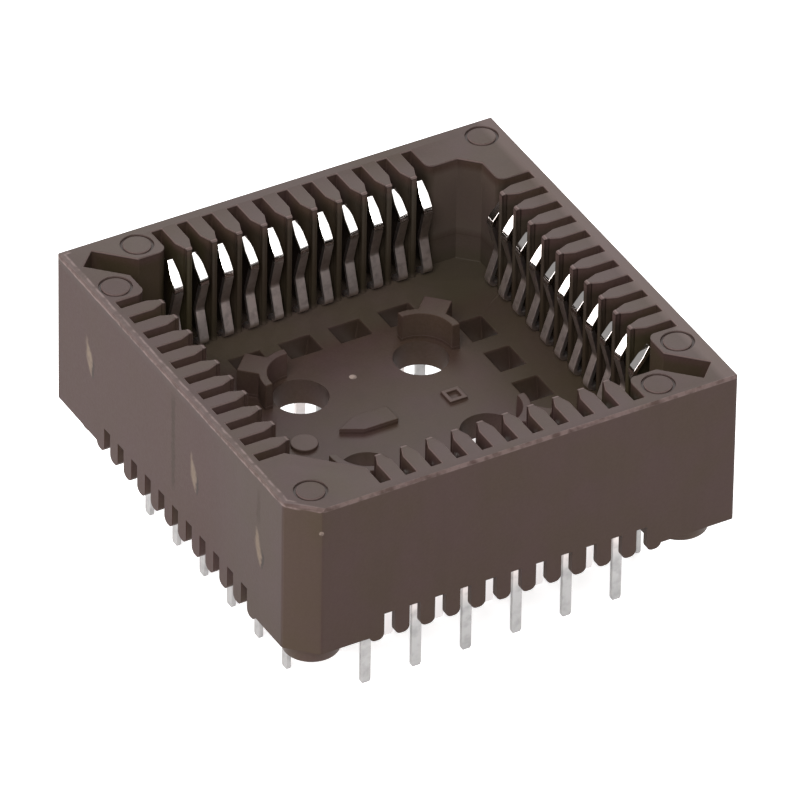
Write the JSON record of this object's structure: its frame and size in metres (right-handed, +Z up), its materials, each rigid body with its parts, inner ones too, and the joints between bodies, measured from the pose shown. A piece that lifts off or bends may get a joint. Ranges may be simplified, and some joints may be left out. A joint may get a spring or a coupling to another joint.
{
  "type": "plcc socket",
  "caption": "Square through-hole chip carrier socket: moulded housing with a chamfered first corner, toothed contact slots, extractor slots and stamped spring contacts with solder tails.",
  "frame": {"origin": "middle of the solder tail grid, on the board plane where the feet stand", "axes": "+Z up out of the board, towards the chip; -X towards the side with pin one in its middle; the chamfered first corner lies towards -X -Y"},
  "size_m": [0.022, 0.022, 0.0121],
  "materials": {
    "housing": "moulded brown-grey plastic with a fine matt skin",
    "contact": "bright tin plate on copper alloy strip"
  },
  "bodies": {
    "root": {"housing": "housing", "contact_01": "contact", "contact_02": "contact", "contact_03": "contact", "contact_04": "contact", "contact_05": "contact", "contact_06": "contact", "contact_07": "contact", "contact_08": "contact", "contact_09": "contact", "contact_10": "contact", "contact_11": "contact", "contact_12": "contact", "contact_13": "contact", "contact_14": "contact", "contact_15": "contact", "contact_16": "contact", "contact_17": "contact", "contact_18": "contact", "contact_19": "contact", "contact_20": "contact", "contact_21": "contact", "contact_22": "contact", "contact_23": "contact", "contact_24": "contact", "contact_25": "contact", "contact_26": "contact", "contact_27": "contact", "contact_28": "contact", "contact_29": "contact", "contact_30": "contact", "contact_31": "contact", "contact_32": "contact", "contact_33": "contact", "contact_34": "contact", "contact_35": "contact", "contact_36": "contact", "contact_37": "contact", "contact_38": "contact", "contact_39": "contact", "contact_40": "contact", "contact_41": "contact", "contact_42": "contact", "contact_43": "contact", "contact_44": "contact"}
  },
  "joints": []
}
